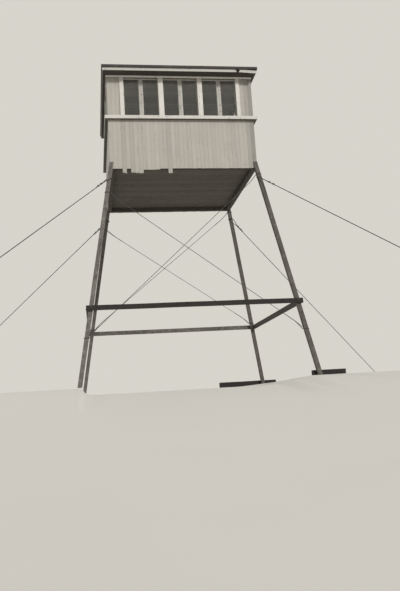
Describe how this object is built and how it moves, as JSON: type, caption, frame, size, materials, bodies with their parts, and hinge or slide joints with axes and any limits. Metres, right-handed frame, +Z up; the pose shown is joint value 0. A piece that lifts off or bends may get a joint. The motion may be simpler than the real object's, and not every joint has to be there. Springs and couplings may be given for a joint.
{
  "type": "fire lookout tower",
  "caption": "Timber fire lookout tower: a square glazed cab with a low roof on four raking legs with girts, held by steel wire stays to ground pins.",
  "frame": {"origin": "on the ground, under the middle of the cab: the centre of the bottom of the whole part", "axes": "+X to the right of someone who looks at the front, +Y towards the back, +Z up"},
  "size_m": [16.84, 14.0398, 8.025],
  "materials": {
    "weathered_timber": "bare grey weathered sawn timber",
    "floor_timber": "bare brown sawn timber, kept dry",
    "wall_paint": "worn pale paint on boards",
    "trim_paint": "worn white paint on boards",
    "sash_paint": "worn white paint on sashes",
    "soffit_boards": "bare brown boards under the roof",
    "window_glass": "old clear window glass",
    "roof_felt": "dark mineral roofing felt",
    "steel_wire": "dull galvanized steel"
  },
  "bodies": {
    "root": {"anchor_pins": "steel_wire", "back_brace_wires": "steel_wire", "fascia_boards": "trim_paint", "floor_beam_back": "floor_timber", "floor_beam_front": "floor_timber", "floor_beam_left": "floor_timber", "floor_beam_right": "floor_timber", "floor_boards": "floor_timber", "floor_hatch": "floor_timber", "floor_joists": "floor_timber", "front_brace_wires": "steel_wire", "girt_back": "weathered_timber", "girt_front": "weathered_timber", "girt_left": "weathered_timber", "girt_right": "weathered_timber", "ground_timbers": "weathered_timber", "leg_back_left": "weathered_timber", "leg_back_right": "weathered_timber", "leg_front_left": "weathered_timber", "leg_front_right": "weathered_timber", "roof_covering": "roof_felt", "roof_deck": "soffit_boards", "sashes_back": "sash_paint", "sashes_front": "sash_paint", "sashes_left": "sash_paint", "sashes_right": "sash_paint", "sill_back": "trim_paint", "sill_front": "trim_paint", "sill_left": "trim_paint", "sill_right": "trim_paint", "stay_back_left": "steel_wire", "stay_back_right": "steel_wire", "stay_front_left": "steel_wire", "stay_front_right": "steel_wire", "wall_back": "wall_paint", "wall_front": "wall_paint", "wall_left": "wall_paint", "wall_right": "wall_paint", "window_glass_back": "window_glass", "window_glass_front": "window_glass", "window_glass_left": "window_glass", "window_glass_right": "window_glass", "window_trim_back": "trim_paint", "window_trim_front": "trim_paint", "window_trim_left": "trim_paint", "window_trim_right": "trim_paint"}
  },
  "joints": []
}
